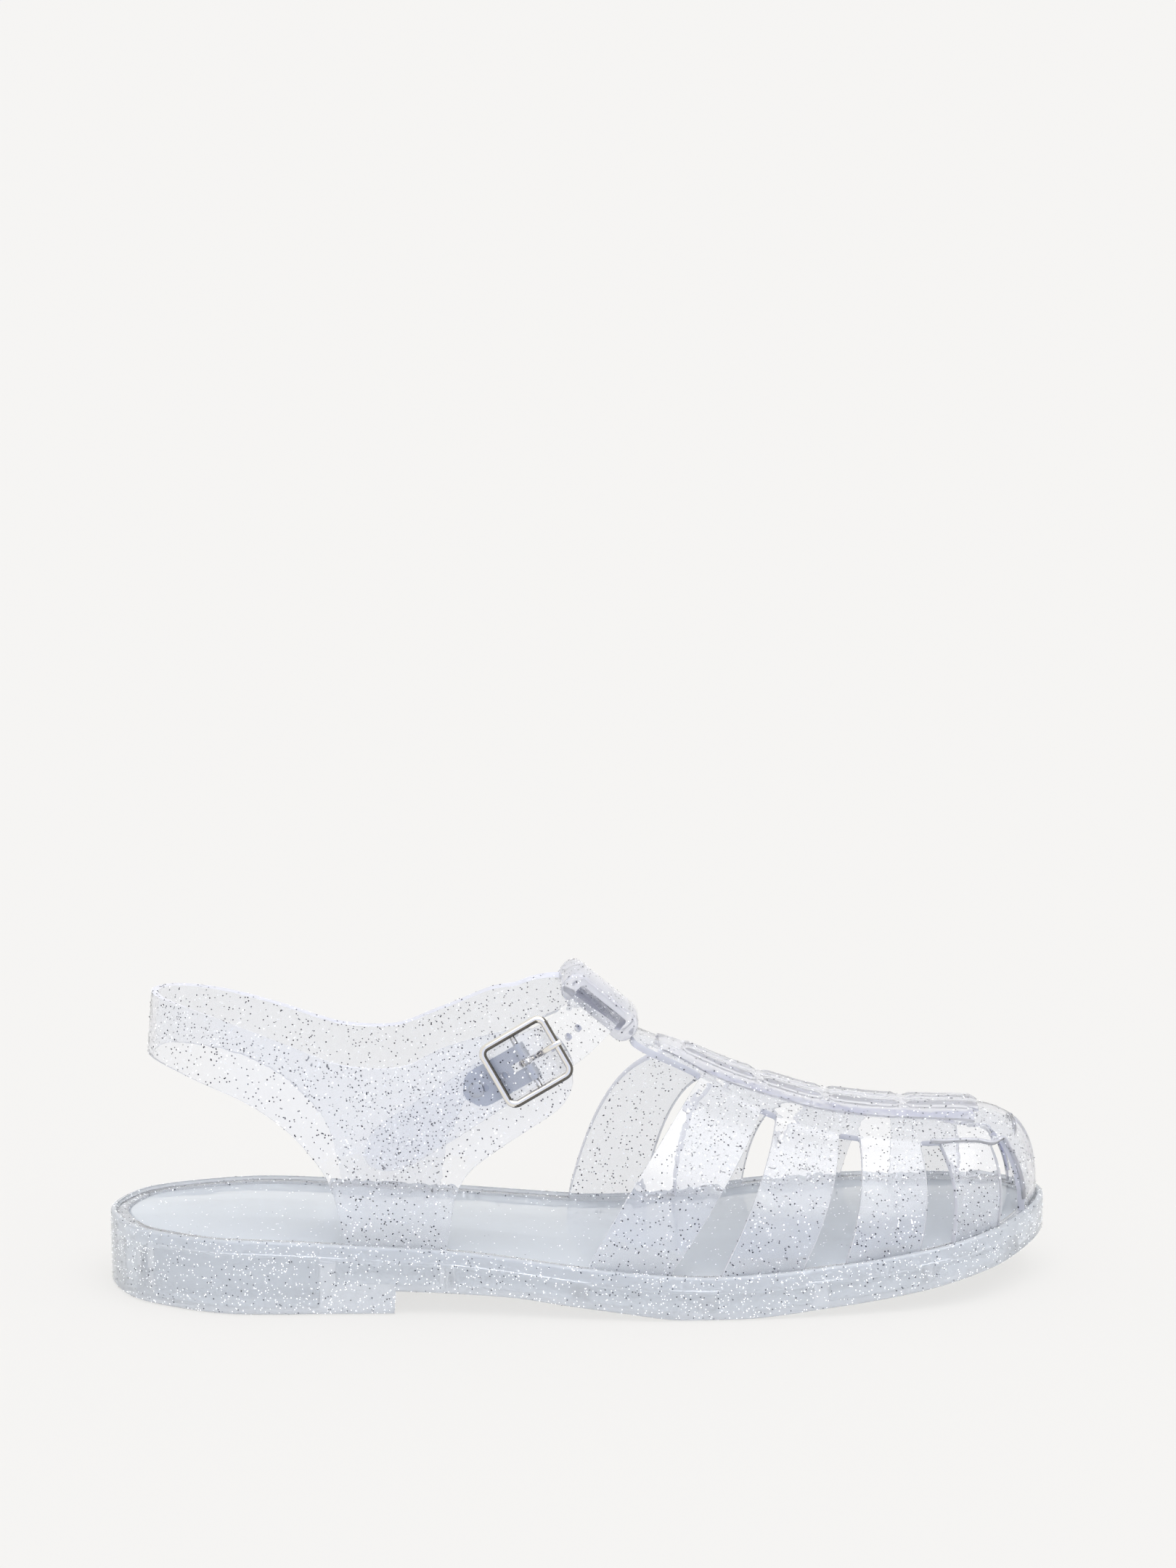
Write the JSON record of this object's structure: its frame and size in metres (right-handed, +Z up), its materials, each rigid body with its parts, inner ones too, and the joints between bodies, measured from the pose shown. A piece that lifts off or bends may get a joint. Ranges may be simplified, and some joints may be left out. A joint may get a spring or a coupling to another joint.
{
  "type": "fisherman sandal",
  "caption": "Clear fisherman sandal for the right foot: caged strap upper on a raised spine, rounded toe cap, open heel band, ankle strap through a throat loop, small buckle, low sole.",
  "frame": {"origin": "middle of the sandal's box, on the floor that it stands on", "axes": "+X from heel to toe, +Y to the inner side (big toe), +Z up"},
  "size_m": [0.2548, 0.094, 0.0859],
  "materials": {
    "clear_jelly": "clear soft PVC with silver and dark glitter, glossy",
    "clear_sole": "clear soft PVC, faintly blue, with glitter, glossy",
    "clear_insole": "clear soft PVC footbed with glitter, satin",
    "polished_nickel": "polished nickel plate",
    "plate_steel": "plain steel, satin"
  },
  "bodies": {
    "root": {"outsole": "clear_sole", "upper": "clear_jelly", "insole": "clear_insole", "buckle_frame": "polished_nickel", "buckle_prong": "polished_nickel", "buckle_plate": "plate_steel", "buckle_rivet": "plate_steel"}
  },
  "joints": []
}
